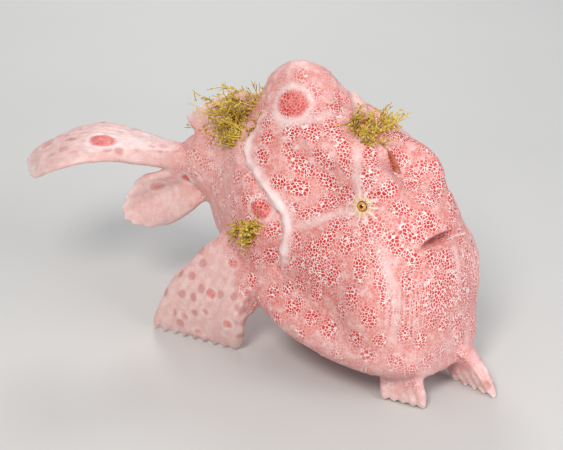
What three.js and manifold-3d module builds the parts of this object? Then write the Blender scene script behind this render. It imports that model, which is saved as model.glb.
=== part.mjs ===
// Frogfish, a young one, standing on its hands and feet. Millimetres, +Z up, snout along +X.
import * as THREE from 'three';
import { LoftGeometry } from 'three/addons/geometries/LoftGeometry.js';
import { mergeGeometries, mergeVertices } from 'three/addons/utils/BufferGeometryUtils.js';
import Module from 'manifold-3d';

const wasm = await Module();
wasm.setup();

// Driving dimensions
const GAP = 0.3;
const BLEND = 1.1;
const AXIS_Z = 16.5;
const BODY_RINGS = 46;
const RING_POINTS = 38;
const EYE_RADIUS = 1.0;
const EYE_CENTRE = [11.5, 5.9, 24.0];
const LID_RADIUS = 1.3;
const LIP_RADIUS = 0.65;
const MOUTH_TOP = 20.4;
const MOUTH_DEPTH_X = 12;
const CAUDAL_ROOT = [-17.2, -7.0, 22.0];
const CAUDAL_LENGTH = 21;
const CAUDAL_HALF_WIDTH = 7;
const ANAL_CENTRE = [-18.7, -8.1, 17.7];
const ANAL_REACH = 8.4;
const ANAL_HALF_WIDTH = 3.9;
const COLUMNS_PER_RAY = 3;

const v = (x, y, z) => new THREE.Vector3(x, y, z);
const mix = THREE.MathUtils.lerp;

// Body masses: centre, radii and pitch of each rounded swelling that the skin runs over
const MASSES = [
  { at: [-2.5, 0, 18.1], size: [11.1, 10.6, 14.6], pitch: 6 },     // trunk
  { at: [7.4, 0, 15.8], size: [10.3, 10.1, 9.6], pitch: 0 },       // cheeks
  { at: [14.3, 0, 12.1], size: [5.6, 10.6, 9.1], pitch: 0 },       // lower jaw
  { at: [12.8, 0, 20.6], size: [5.2, 6.2, 4.4], pitch: 1 },        // snout
  { at: [10.7, -4.1, 25.8], size: [3.7, 1.9, 2.6], pitch: -6 },    // right brow
  { at: [10.7, 4.1, 25.8], size: [3.7, 1.9, 2.6], pitch: -6 },     // left brow
  { at: [-3.9, 0, 31.4], size: [5.2, 3.8, 4.8], pitch: 4 },        // third dorsal spine
  { at: [3.2, 0, 28.9], size: [7.0, 6.3, 2.8], pitch: -6 },        // nape
  { at: [-9.8, -1.0, 16.6], size: [6.2, 6.4, 8.1], pitch: 0 },     // rump
  { at: [6.1, 0, 7.7], size: [15.6, 11.8, 4.6], pitch: -10 },      // belly
  { at: [-12.2, -3.2, 21.4], size: [4.6, 3.8, 4.4], pitch: 0 },    // tail root
  { at: [-15.6, -5.8, 21.9], size: [3.2, 2.6, 3.3], pitch: 0 },    // tail stalk
];

function massDistance({ at, size, pitch }, x, y, z) {
  const turn = THREE.MathUtils.degToRad(pitch);
  const dx = x - at[0];
  const dz = z - at[2];
  const along = dx * Math.cos(turn) + dz * Math.sin(turn);
  const above = dz * Math.cos(turn) - dx * Math.sin(turn);
  const local = [along, y - at[1], above];
  const reach = Math.hypot(...local.map((value, i) => value / size[i]));
  const slope = Math.hypot(...local.map((value, i) => value / size[i] ** 2));
  return reach * (reach - 1) / Math.max(slope, 1e-6);
}

function bodyDistance(x, y, z) {
  const sum = MASSES.reduce((total, mass) => total + Math.exp(-massDistance(mass, x, y, z) / BLEND), 0);
  return -BLEND * Math.log(sum);
}

// First point where a line from inside the body comes out of the skin
function skinPoint(start, direction, level = 0) {
  let near = 0;
  let far = 0.4;
  const inside = (t) => bodyDistance(start.x + direction.x * t, start.y + direction.y * t,
    start.z + direction.z * t) < level;
  while (inside(far)) {
    near = far;
    far += 0.4;
  }
  for (let i = 0; i < 14; i += 1) {
    const half = (near + far) / 2;
    if (inside(half)) near = half;
    else far = half;
  }
  return start.clone().addScaledVector(direction, near);
}

function axisPoint(x) {
  const back = THREE.MathUtils.clamp((-7.6 - x) / 8, 0, 1);
  const front = THREE.MathUtils.clamp((x - 8) / 8, 0, 1);
  return v(x, -5.8 * back, AXIS_Z + 5.4 * back - 4.2 * front);
}

function loftSolid(sections) {
  return toManifold(new LoftGeometry(sections, { closed: true, capStart: true, capEnd: true }));
}

function bodySolid(level) {
  const start = skinPoint(axisPoint(-15.6), v(-1, 0, 0), level).x;
  const end = skinPoint(axisPoint(16), v(1, 0, 0), level).x;
  const sections = Array.from({ length: BODY_RINGS }, (_, i) => {
    const along = (i + 0.35) / (BODY_RINGS - 0.3);
    const middle = axisPoint(mix(start, end, (1 - Math.cos(Math.PI * along)) / 2));
    return Array.from({ length: RING_POINTS }, (__, k) => {
      const angle = 2 * Math.PI * k / RING_POINTS;
      return skinPoint(middle, v(0, Math.cos(angle), Math.sin(angle)), level);
    });
  });
  return loftSolid(sections);
}

function toManifold(geometry) {
  const bare = geometry.index ? geometry.toNonIndexed() : geometry.clone();
  bare.deleteAttribute('normal');
  bare.deleteAttribute('uv');
  const merged = mergeVertices(bare, 1e-4);
  return new wasm.Manifold(new wasm.Mesh({
    numProp: 3,
    vertProperties: new Float32Array(merged.attributes.position.array),
    triVerts: new Uint32Array(merged.index.array),
  }));
}

function toGeometry(solid) {
  const mesh = solid.getMesh();
  const geometry = new THREE.BufferGeometry();
  geometry.setAttribute('position', new THREE.BufferAttribute(new Float32Array(mesh.vertProperties), 3));
  geometry.setIndex(new THREE.BufferAttribute(new Uint32Array(mesh.triVerts), 1));
  geometry.computeVertexNormals();
  return geometry;
}

const largest = (solid) => solid.decompose().sort((a, b) => b.volume() - a.volume())[0];

function boxSolid(size, centre, turnY = 0, turnZ = 0) {
  const geometry = new THREE.BoxGeometry(...size);
  geometry.rotateY(turnY);
  geometry.rotateZ(turnZ);
  geometry.translate(...centre);
  return toManifold(geometry);
}

// A fin: a closed sheet on a grid, thick at its root, with its rays raised in both faces
function finSolid({ root, tip, rays, rows = 8, rootThick, tipThick, ridge, scallop = 0.06, sag, grow = 0 }) {
  const columns = rays * COLUMNS_PER_RAY;
  const middle = [];
  const half = [];
  for (let i = 0; i <= columns; i += 1) {
    const across = i / columns;
    const wave = Math.abs(Math.sin(Math.PI * rays * across));
    const crest = wave ** 3;
    const from = root(across);
    const reach = tip(across).sub(from).multiplyScalar(1 - scallop * (1 - wave));
    for (let j = 0; j <= rows; j += 1) {
      const out = j / rows;
      const point = from.clone().addScaledVector(reach, out);
      middle.push(sag ? point.add(sag(across, out)) : point);
      const edge = Math.min(1, 0.35 + 6 * Math.min(across, 1 - across)) * Math.min(1, 0.4 + 4 * (1 - out));
      const web = mix(rootThick, tipThick, out ** 0.6) + ridge * crest * Math.min(1, 3 * out);
      half.push(web * edge / 2 + grow);
    }
  }
  const at = (i, j) => middle[i * (rows + 1) + j];
  const top = [];
  const bottom = [];
  for (let i = 0; i <= columns; i += 1) {
    for (let j = 0; j <= rows; j += 1) {
      const wide = at(Math.min(i + 1, columns), j).clone().sub(at(Math.max(i - 1, 0), j));
      const long = at(i, Math.min(j + 1, rows)).clone().sub(at(i, Math.max(j - 1, 0)));
      const normal = wide.cross(long).normalize();
      const spread = half[i * (rows + 1) + j];
      top.push(at(i, j).clone().addScaledVector(normal, spread));
      bottom.push(at(i, j).clone().addScaledVector(normal, -spread));
    }
  }
  const count = top.length;
  const faces = [];
  const quad = (a, b, c, d) => faces.push(a, b, c, a, c, d);
  for (let i = 0; i < columns; i += 1) {
    for (let j = 0; j < rows; j += 1) {
      const a = i * (rows + 1) + j;
      const b = a + rows + 1;
      quad(a, b, b + 1, a + 1);
      faces.push(count + a, count + b + 1, count + b, count + a, count + a + 1, count + b + 1);
    }
    const a = i * (rows + 1);
    const b = a + rows + 1;
    quad(b, a, count + a, count + b);
    quad(a + rows, b + rows, count + b + rows, count + a + rows);
  }
  const last = columns * (rows + 1);
  for (let j = 0; j < rows; j += 1) {
    quad(j, j + 1, count + j + 1, count + j);
    quad(last + j + 1, last + j, count + last + j, count + last + j + 1);
  }
  const geometry = new THREE.BufferGeometry();
  const corners = [...top, ...bottom].flatMap((point) => point.toArray());
  geometry.setAttribute('position', new THREE.Float32BufferAttribute(corners, 3));
  geometry.setIndex(faces);
  const solid = toManifold(geometry);
  if (solid.volume() > 0) return solid;
  geometry.setIndex(faces.map((value, k) => faces[k - (k % 3) + 2 - (k % 3)]));
  return toManifold(geometry);
}

// A tapered rod of few sides along a bent path
function rodSolid(points, rootRadius, tipRadius, sides = 6, steps = 5) {
  const path = new THREE.CatmullRomCurve3(points);
  const sections = Array.from({ length: steps + 1 }, (_, i) => {
    const t = i / steps;
    const centre = path.getPoint(t);
    const ahead = path.getTangent(t);
    const side = Math.abs(ahead.z) < 0.9 ? v(0, 0, 1) : v(1, 0, 0);
    const across = side.clone().cross(ahead).normalize();
    const up = ahead.clone().cross(across);
    const radius = mix(rootRadius, tipRadius, t);
    return Array.from({ length: sides }, (__, k) => {
      const angle = 2 * Math.PI * k / sides;
      return centre.clone().addScaledVector(across, radius * Math.cos(angle))
        .addScaledVector(up, radius * Math.sin(angle));
    });
  });
  return loftSolid(sections);
}

function randomFrom(seed) {
  let state = seed;
  return () => {
    state = (state * 1664525 + 1013904223) % 4294967296;
    return state / 4294967296;
  };
}

// A tuft of branching skin filaments on a low pad
function tuftSolid({ at, pad, lean, count, length, seed, spread }) {
  const random = randomFrom(seed);
  const base = new THREE.SphereGeometry(1, 10, 6);
  base.scale(...pad);
  base.translate(...at);
  let tuft = toManifold(base);
  for (let i = 0; i < count; i += 1) {
    const turn = 2 * Math.PI * (i * 0.618 + 0.1 * random());
    const away = spread * Math.sqrt((i + 0.5) / count);
    const out = v(lean[0] + away * Math.cos(turn), lean[1] + away * 0.5 * Math.sin(turn * 1.7),
      lean[2] + away * Math.sin(turn)).normalize();
    const from = v(at[0] + out.x * pad[0] * 0.5, at[1] + out.y * pad[1] * 0.5, at[2] + out.z * pad[2] * 0.5);
    const reach = length * (0.65 + 0.5 * random());
    const bend = v(random() - 0.5, random() - 0.5, random() - 0.5).multiplyScalar(0.5 * reach);
    const tip = from.clone().addScaledVector(out, reach).add(bend);
    const elbow = from.clone().lerp(tip, 0.55).addScaledVector(bend, -0.5);
    tuft = tuft.add(rodSolid([from, elbow, tip], 0.55, 0.2, 4, 2));
  }
  return tuft;
}

// Body, whole, and a slightly larger copy that clears room for what grows from it
const body = bodySolid(0);
const bodyRoom = bodySolid(GAP);
const floor = boxSolid([120, 120, 20], [0, 0, -10]);

// Mouth: an arch between the jaws, wider at the top where it stands a little open
function archSolid(grow, topGrow) {
  const arch = new THREE.Shape();
  const half = 7.6 + grow;
  const top = MOUTH_TOP + topGrow;
  arch.moveTo(-half, -4);
  arch.lineTo(half, -4);
  arch.lineTo(half - 0.5, 12);
  arch.bezierCurveTo(half - 1.5, 16.5, 4.4, top, 1.2, top);
  arch.lineTo(-1.2, top);
  arch.bezierCurveTo(-4.4, top, -(half - 1.5), 16.5, -(half - 0.5), 12);
  const geometry = new THREE.ExtrudeGeometry(arch, { depth: 14, bevelEnabled: false, curveSegments: 7 });
  geometry.applyMatrix4(new THREE.Matrix4().makeBasis(v(0, 1, 0), v(0, 0, 1), v(1, 0, 0)));
  geometry.translate(MOUTH_DEPTH_X - grow, 0, 0);
  return toManifold(geometry);
}

// Lips: a low rounded ridge along the arch on the skin
function lipSolid() {
  const points = Array.from({ length: 15 }, (_, i) => {
    const side = mix(-1, 1, i / 14);
    const y = 6.9 * Math.sin(side * Math.PI / 2);
    const z = MOUTH_TOP - 8.6 * Math.abs(side) ** 2.4 - 0.2;
    return skinPoint(v(8, y, z), v(1, 0, 0), -0.12);
  });
  const ring = new THREE.Shape().absarc(0, 0, LIP_RADIUS, 0, 2 * Math.PI);
  const path = new THREE.CatmullRomCurve3(points);
  return toManifold(new THREE.ExtrudeGeometry(ring, { steps: 28, curveSegments: 4, extrudePath: path }));
}

function eyePlace(side) {
  return v(EYE_CENTRE[0], side * EYE_CENTRE[1], EYE_CENTRE[2]);
}

function ballSolid(centre, radius) {
  const ball = new THREE.SphereGeometry(radius, 16, 10);
  ball.translate(centre.x, centre.y, centre.z);
  return toManifold(ball);
}

// Lids: a soft rim round the opening of the eye
function lidSolid(side) {
  const rim = new THREE.TorusGeometry(LID_RADIUS, 0.45, 6, 16);
  const outward = v(0.25, 0.9 * side, 0.25).normalize();
  rim.applyQuaternion(new THREE.Quaternion().setFromUnitVectors(v(0, 0, 1), outward));
  const centre = eyePlace(side).addScaledVector(outward, 0.2);
  rim.translate(centre.x, centre.y, centre.z);
  return toManifold(rim);
}

// Nostril: a short tube between the eye and the lip
function nostrilParts(side) {
  const outward = v(0.8, 0.35 * side, 0.5).normalize();
  const place = skinPoint(v(9, 1.3 * side, 19), outward, -0.1);
  const make = (radius, height) => {
    const tube = new THREE.CylinderGeometry(radius * 0.8, radius, height, 10);
    tube.applyQuaternion(new THREE.Quaternion().setFromUnitVectors(v(0, 1, 0), outward));
    tube.translate(place.x + outward.x * 0.2, place.y + outward.y * 0.2, place.z + outward.z * 0.2);
    return toManifold(tube);
  };
  return { wall: make(0.55, 1.1), hole: make(0.22, 2.0) };
}

function headAndJaw(front) {
  let head = front.add(lipSolid());
  for (const side of [-1, 1]) {
    const nostril = nostrilParts(side);
    head = head.add(lidSolid(side)).add(nostril.wall).subtract(nostril.hole);
    head = head.subtract(ballSolid(eyePlace(side), EYE_RADIUS + GAP));
  }
  return { head: head.subtract(archSolid(GAP, GAP + 0.25)), jaw: head.intersect(archSolid(0, -0.25)) };
}

// Splits a solid in two with a flat gap; the first part lies on the side the normal points to
function split(solid, point, normal) {
  const unit = v(...normal).normalize();
  const offset = unit.dot(v(...point));
  const flipped = [-unit.x, -unit.y, -unit.z];
  return [solid.trimByPlane(unit.toArray(), offset + GAP / 2), solid.trimByPlane(flipped, -offset + GAP / 2)];
}

const [front, back] = split(body, [0.6, 0, 18], [1, 0, -0.12]);
const [middleBody, tailStalk] = split(back, [-10.2, 0, 18], [1, 0.35, 0]);
const [napeSpine, torso] = split(middleBody, [-3, 0, 28.2], [-0.08, 0, 1]);
const { head, jaw } = headAndJaw(front);

// Tail fin, twisted flat, its rays fanned from the stalk
const tailWay = v(-0.82, -0.57, 0).normalize();
const tailSide = v(0.57, -0.82, 0).normalize();
const caudal = {
  root: (u) => v(...CAUDAL_ROOT).addScaledVector(tailSide, mix(-1.7, 1.7, u)),
  tip: (u) => v(...CAUDAL_ROOT).addScaledVector(tailSide, CAUDAL_HALF_WIDTH * Math.sin(mix(-0.8, 0.8, u)))
    .addScaledVector(tailWay, CAUDAL_LENGTH * Math.cos(mix(-0.45, 0.45, u))).add(v(0, 0, -1.2)),
  sag: (u, w) => v(0, 0, 2.5 * Math.sin(Math.PI * w ** 1.4) - 0.9 * (2 * u - 1) ** 2 * w)
    .addScaledVector(tailSide, (2 * u - 1) * 2.6 * Math.sin(Math.PI * w ** 2)),
  rays: 9, rows: 10, rootThick: 3.4, tipThick: 0.55, ridge: 0.35,
};

// Anal fin, a rounded lobe hanging from the stalk with a fold between its front and rear rays
const analWay = v(-0.663, -0.465, -0.586).normalize();
const analSide = v(-0.488, -0.325, 0.810).normalize();
const anal = {
  root: (u) => v(mix(-17.2, -13.4, u), mix(-7.4, -4.6, u), mix(21.8, 18.4, u)),
  tip: (u) => v(...ANAL_CENTRE).addScaledVector(analWay, ANAL_REACH * Math.cos(mix(1.3, -1.25, u)))
    .addScaledVector(analSide, ANAL_HALF_WIDTH * Math.sin(mix(1.3, -1.25, u))),
  sag: (u, w) => v(0.5, -0.8, 0).multiplyScalar(Math.sin(Math.PI * w) * Math.cos(7 * u)),
  rays: 7, rows: 7, rootThick: 2.4, tipThick: 0.55, ridge: 0.35, scallop: 0.08,
};

// Soft dorsal fin, raised behind the third spine
const dorsal = {
  root: (u) => v(mix(-7.6, -14.6, u), mix(-0.6, -4.8, u), mix(26.0, 22.8, u)),
  tip: (u) => v(mix(-9.4, -18.2, u), mix(-1.6, -6.6, u), mix(31.6, 27.2, u) + 1.4 * Math.sin(Math.PI * u)),
  sag: (u, w) => v(0.3, -0.6, 0).multiplyScalar(Math.sin(Math.PI * w)),
  rays: 12, rows: 5, rootThick: 2.0, tipThick: 0.55, ridge: 0.3, scallop: 0.1,
};

// Hands: broad arms that end in fanned finger rays standing on the floor
function handShape(side, frontTip, rearTip) {
  return {
    root: (u) => v(mix(-2.2, -8.4, u), side * mix(7.8, 5.6, u), mix(9.8, 15.4, u)),
    tip: (u) => v(mix(frontTip[0], rearTip[0], u), side * mix(frontTip[1], rearTip[1], u), -0.55),
    sag: (u, w) => v(-1.2 * u, side * 1.6, 0.6 * u).multiplyScalar(Math.sin(Math.PI * w)),
    rays: 9, rows: 8, rootThick: 6.4, tipThick: 0.8, ridge: 0.5, scallop: 0.15,
  };
}

// Feet: short pelvic fins under the throat
function footShape(side, rootX, frontTip, rearTip) {
  return {
    root: (u) => v(mix(rootX + 4.6, rootX, u), side * 2.8, mix(7.4, 6.2, u)),
    tip: (u) => v(mix(frontTip[0], rearTip[0], u), side * mix(frontTip[1], rearTip[1], u), -0.45),
    sag: (u, w) => v(0.8, side * 0.4, 0).multiplyScalar(Math.sin(Math.PI * w)),
    rays: 5, rows: 7, rootThick: 4.4, tipThick: 0.9, ridge: 0.45, scallop: 0.2,
  };
}

const grown = (shape, extra = GAP) => finSolid({ ...shape, grow: extra });
const onFloor = (solid) => solid.subtract(floor);
const offBody = (solid) => largest(solid.subtract(bodyRoom));

const rightHand = handShape(-1, [-5.4, 9.8], [-18.2, 13.6]);
const leftHand = handShape(1, [-3.4, 11.0], [-15.6, 14.4]);
const rightFoot = footShape(-1, 11.6, [20.8, 4.4], [15.0, 6.4]);
const leftFoot = footShape(1, 12.8, [25.6, 3.0], [18.6, 3.2]);

// Second dorsal spine and the fishing rod that lies back over the snout
const secondSpine = rodSolid([v(4.8, 0, 28.5), v(5.6, -0.3, 32.6), v(4.4, -0.6, 34.6)], 1.5, 0.4, 10, 6);
const rodPath = [v(11.6, -0.3, 26.4), v(10.7, -0.5, 28.4), v(9.2, -1.3, 29.9), v(7.9, -1.9, 31.6)];
const fishingRod = rodSolid(rodPath, 0.42, 0.26, 8, 8).add(ballSolid(v(7.8, -1.95, 31.8), 0.6));
const rodRoom = rodSolid(rodPath, 0.72, 0.56, 8, 8).add(ballSolid(v(7.8, -1.95, 31.8), 0.6 + GAP));
const spineRoom = rodSolid([v(4.8, 0, 28.2), v(5.6, -0.3, 32.6), v(4.3, -0.6, 34.9)], 1.8, 0.7, 10, 6);

const dorsalTuft = tuftSolid({
  at: [-11.4, -3.4, 28.4], pad: [3.4, 1.8, 2.2], lean: [-0.4, -0.7, 0.5],
  count: 20, length: 4.2, seed: 8, spread: 0.9,
});
const spineTuft = tuftSolid({
  at: [8.2, -0.4, 30.6], pad: [1.5, 1.3, 1.4], lean: [0.5, 0.3, 0.8],
  count: 12, length: 3.4, seed: 11, spread: 0.8,
});
const flankTuft = tuftSolid({
  at: [-4.4, -10.9, 16.6], pad: [2.6, 1.1, 1.2], lean: [-0.2, -0.9, 0.1],
  count: 10, length: 1.9, seed: 5, spread: 1.0,
});

const PINK = '#d98f90';
const PALE = '#e2b5ae';
const GOLD = '#94792a';

function material(color, roughness) {
  return new THREE.MeshStandardMaterial({ color, roughness, metalness: 0 });
}

const skin = material(PINK, 0.5);
const finSkin = material(PALE, 0.5);
const filament = material(GOLD, 0.7);
const iris = material('#d98a1e', 0.15);

const nodes = {
  head: [largest(head), skin],
  lower_jaw: [largest(jaw), skin],
  torso: [largest(torso), skin],
  tail_stalk: [largest(tailStalk), skin],
  third_dorsal_spine: [largest(napeSpine), skin],
  tail_fin: [offBody(finSolid(caudal)), finSkin],
  anal_fin: [offBody(finSolid(anal).subtract(grown(caudal))), finSkin],
  soft_dorsal_fin: [offBody(finSolid(dorsal)), finSkin],
  right_hand: [offBody(onFloor(finSolid(rightHand))), finSkin],
  left_hand: [offBody(onFloor(finSolid(leftHand))), finSkin],
  right_foot: [offBody(onFloor(finSolid(rightFoot))), finSkin],
  left_foot: [offBody(onFloor(finSolid(leftFoot))), finSkin],
  second_dorsal_spine: [offBody(secondSpine), skin],
  fishing_rod: [offBody(fishingRod), skin],
  right_eye: [ballSolid(eyePlace(-1), EYE_RADIUS), iris],
  left_eye: [ballSolid(eyePlace(1), EYE_RADIUS), iris],
  dorsal_tuft: [offBody(dorsalTuft.subtract(grown(dorsal)).subtract(grown(caudal))), filament],
  spine_tuft: [offBody(spineTuft.subtract(rodRoom).subtract(spineRoom)), filament],
  flank_tuft: [offBody(flankTuft.subtract(grown(rightHand))), filament],
};

const fish = new THREE.Group();
for (const [name, [solid, finish]] of Object.entries(nodes)) {
  const mesh = new THREE.Mesh(toGeometry(solid), finish);
  mesh.name = name;
  fish.add(mesh);
}

// Origin under the middle of the whole fish, on the floor
const extent = new THREE.Box3().setFromObject(fish);
fish.position.set(-(extent.min.x + extent.max.x) / 2, -(extent.min.y + extent.max.y) / 2, 0);

export default fish;
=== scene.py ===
# Young pink frogfish: one seamless skin over the solids, glossy eyes, fishing rod and skin tufts.
# Shapes are worked out in millimetres in the fish's own frame and set into the part's frame in metres.
import math

import bpy
import numpy as np
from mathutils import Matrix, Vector
from mathutils.kdtree import KDTree


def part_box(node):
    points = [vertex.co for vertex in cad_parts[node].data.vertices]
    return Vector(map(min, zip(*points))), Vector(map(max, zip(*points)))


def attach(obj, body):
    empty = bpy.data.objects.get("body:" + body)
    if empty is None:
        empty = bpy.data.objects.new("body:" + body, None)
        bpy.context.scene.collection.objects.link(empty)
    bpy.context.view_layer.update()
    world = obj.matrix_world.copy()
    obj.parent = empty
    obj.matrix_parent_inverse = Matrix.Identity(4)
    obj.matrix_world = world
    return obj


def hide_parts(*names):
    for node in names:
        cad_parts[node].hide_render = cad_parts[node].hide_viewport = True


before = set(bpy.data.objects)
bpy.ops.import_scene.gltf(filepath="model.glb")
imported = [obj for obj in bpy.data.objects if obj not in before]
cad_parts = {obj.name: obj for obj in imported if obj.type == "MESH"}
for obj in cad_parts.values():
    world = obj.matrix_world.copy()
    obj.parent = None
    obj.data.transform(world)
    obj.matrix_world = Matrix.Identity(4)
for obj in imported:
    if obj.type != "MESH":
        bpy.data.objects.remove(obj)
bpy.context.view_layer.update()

# Metres in a millimetre
MM = 0.001

# Body, in millimetres: how softly its masses run together, and the height of its axis
BLEND = 1.1
AXIS_Z = 16.5

# Left eye; the right one is its mirror image
EYE_RADIUS = 1.0
EYE_CENTRE = np.array([11.5, 5.9, 24.0])
CORNEA_RISE = 0.16

# Arch of the mouth: its top, half its width and how far its corners drop
MOUTH_TOP = 20.4
LIP_HALF = 6.9
LIP_DROP = 8.6

# Fineness of the skin, of the body's rings and of the fins' sheets
VOXEL = 0.23
RING_COUNT = 300
RING_POINTS = 240
FIN_COLUMNS_PER_RAY = 12
FIN_ROWS = 64

# Camera: direction in degrees, then distance, aim and lens that give the photo's framing
AZIMUTH = 44
ELEVATION = 25
DISTANCE = 196.0
AIM = np.array([-5.149, -2.496, 15.0])
LENS = 100.0

# From the fish's own frame to the part's, found from where the solid right eye stands
_low, _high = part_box("right_eye")
_eye_now = (np.array(_low) + np.array(_high)) / 2 / MM
SHIFT = _eye_now - EYE_CENTRE * [1, -1, 1]

# Body masses: centre, radii and pitch of each rounded swelling that the skin runs over
MASSES = [
    ((-2.5, 0, 18.1), (11.1, 10.6, 14.6), 6),
    ((7.4, 0, 15.8), (10.3, 10.1, 9.6), 0),
    ((14.3, 0, 12.1), (5.6, 10.6, 9.1), 0),
    ((12.8, 0, 20.6), (5.2, 6.2, 4.4), 1),
    ((10.7, -4.1, 25.8), (3.7, 1.9, 2.6), -6),
    ((10.7, 4.1, 25.8), (3.7, 1.9, 2.6), -6),
    ((-3.9, 0, 31.4), (5.2, 3.8, 4.8), 4),
    ((3.2, 0, 28.9), (7.0, 6.3, 2.8), -6),
    ((-9.8, -1.0, 16.6), (6.2, 6.4, 8.1), 0),
    ((6.1, 0, 7.7), (15.6, 11.8, 4.6), -10),
    ((-12.2, -3.2, 21.4), (4.6, 3.8, 4.4), 0),
    ((-15.6, -5.8, 21.9), (3.2, 2.6, 3.3), 0),
]


def mix(a, b, t):
    return a + (b - a) * t


def unit(vector):
    vector = np.asarray(vector, float)
    return vector / np.linalg.norm(vector)


def body_distance(points):
    """Rough signed distance from the body's skin, below zero inside."""
    total = 0
    for centre, radii, pitch in MASSES:
        turn = math.radians(pitch)
        d = points - np.array(centre, float)
        local = np.stack([
            d[..., 0] * math.cos(turn) + d[..., 2] * math.sin(turn),
            d[..., 1],
            d[..., 2] * math.cos(turn) - d[..., 0] * math.sin(turn),
        ], -1)
        reach = np.linalg.norm(local / radii, axis=-1)
        slope = np.linalg.norm(local / np.square(radii), axis=-1)
        total = total + np.exp(-reach * (reach - 1) / np.maximum(slope, 1e-6) / BLEND)
    return -BLEND * np.log(total)


def skin_points(starts, ways):
    """Where lines from inside the body first come out of its skin."""
    reach = np.zeros(len(starts))
    for _ in range(60):
        reach += np.clip(-body_distance(starts + ways * reach[:, None]) * 0.7, 0, 1.2)
    return starts + ways * reach[:, None]


def axis_points(x):
    """The body's axis: level in the trunk, down into the face, and up and right into the tail."""
    back = np.clip((-7.6 - x) / 8, 0, 1)
    front = np.clip((x - 8) / 8, 0, 1)
    return np.stack([x, -5.8 * back, AXIS_Z + 5.4 * back - 4.2 * front], -1)


def body_mesh():
    """The head, trunk and tail stalk as rings of points round the body's axis."""
    ends = skin_points(axis_points(np.array([-15.6, 16.0])), np.array([[-1.0, 0, 0], [1.0, 0, 0]]))
    along = (np.arange(RING_COUNT) + 0.35) / (RING_COUNT - 0.3)
    x = mix(ends[0, 0], ends[1, 0], (1 - np.cos(np.pi * along)) / 2)
    angle = 2 * np.pi * np.arange(RING_POINTS) / RING_POINTS
    starts = np.repeat(axis_points(x), RING_POINTS, 0)
    ways = np.stack([np.zeros(RING_POINTS), np.cos(angle), np.sin(angle)], -1)
    points = skin_points(starts, np.tile(ways, (RING_COUNT, 1)))
    points = np.vstack([points, ends])
    faces = []
    for i in range(RING_COUNT - 1):
        for k in range(RING_POINTS):
            a = i * RING_POINTS + k
            b = i * RING_POINTS + (k + 1) % RING_POINTS
            faces.append((a, b, b + RING_POINTS, a + RING_POINTS))
    last = (RING_COUNT - 1) * RING_POINTS
    first_cap = RING_COUNT * RING_POINTS
    for k in range(RING_POINTS):
        n = (k + 1) % RING_POINTS
        faces.append((n, k, first_cap))
        faces.append((last + k, last + n, first_cap + 1))
    return points, faces


def row(*ends):
    """A named pair of places, read as a straight run from one to the other."""
    a, b = (np.array(end, float) for end in ends)
    return lambda u: mix(a, b, u[..., None])


def fin_mesh(shape):
    """A closed sheet, thick at its root, with its rays raised in both faces."""
    rays = shape["rays"]
    rows = FIN_ROWS
    columns = rays * FIN_COLUMNS_PER_RAY
    u, w = np.meshgrid(np.linspace(0, 1, columns + 1), np.linspace(0, 1, rows + 1), indexing="ij")
    wave = np.abs(np.sin(np.pi * rays * u))
    crest = wave ** 3
    start = shape["root"](u)
    reach = (shape["tip"](u) - start) * (1 - shape["scallop"] * (1 - wave ** 0.6))[..., None]
    middle = start + reach * w[..., None] + shape["sag"](u, w)
    rim = np.minimum(1, 0.5 + 6 * np.minimum(u, 1 - u)) * np.minimum(1, 0.6 + 5 * (1 - w))
    web = mix(shape["root_thick"], shape["tip_thick"], w ** 0.6)
    spread = (web + shape["ridge"] * crest * np.minimum(1, 3 * w)) * rim / 2
    wide = np.gradient(middle, axis=0)
    long = np.gradient(middle, axis=1)
    normal = np.cross(wide, long)
    normal /= np.linalg.norm(normal, axis=-1, keepdims=True) + 1e-9
    top = (middle + normal * spread[..., None]).reshape(-1, 3)
    bottom = (middle - normal * spread[..., None]).reshape(-1, 3)
    count = len(top)
    step = rows + 1
    faces = []
    for i in range(columns):
        for j in range(rows):
            a = i * step + j
            faces.append((a, a + step, a + step + 1, a + 1))
            faces.append((count + a, count + a + 1, count + a + step + 1, count + a + step))
        a = i * step
        faces.append((a + step, a, count + a, count + a + step))
        faces.append((a + rows, a + rows + step, count + a + rows + step, count + a + rows))
    last = columns * step
    for j in range(rows):
        faces.append((j, j + 1, count + j + 1, count + j))
        faces.append((last + j + 1, last + j, count + last + j, count + last + j + 1))
    return np.vstack([top, bottom]), faces


UP = np.array([0, 0, 1.0])

# Tail fin: root, the ways it reaches and spreads, its size, and how it droops, arches, cups and widens
TAIL_ROOT = np.array([-17.2, -7.0, 22.0])
TAIL_WAY = unit([-0.82, -0.57, 0])
TAIL_SIDE = unit([0.57, -0.82, 0])
TAIL_REACH = 21
TAIL_HALF_WIDTH = 7
TAIL_ROOT_HALF = 1.7
TAIL_DROOP = 1.2
TAIL_ARCH = 2.5
TAIL_CUP = 0.9
TAIL_FLARE = 2.6

# Anal fin: an oval fan, with its sweep in radians
ANAL_CENTRE = np.array([-18.7, -8.1, 17.7])
ANAL_WAY = unit([-0.663, -0.465, -0.586])
ANAL_SIDE = unit([-0.488, -0.325, 0.810])
ANAL_REACH = 8.4
ANAL_HALF_WIDTH = 3.9
ANAL_SWEEP = (1.3, -1.25)

DORSAL_RISE = 1.4
# Tips of the hands and feet dip this far under the floor and are cut flat on it
SOLE_Z = -0.1


def tail_tip(u):
    side = TAIL_HALF_WIDTH * np.sin(mix(-0.8, 0.8, u))
    out = TAIL_REACH * np.cos(mix(-0.45, 0.45, u))
    return TAIL_ROOT + TAIL_SIDE * side[..., None] + TAIL_WAY * out[..., None] - TAIL_DROOP * UP


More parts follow.
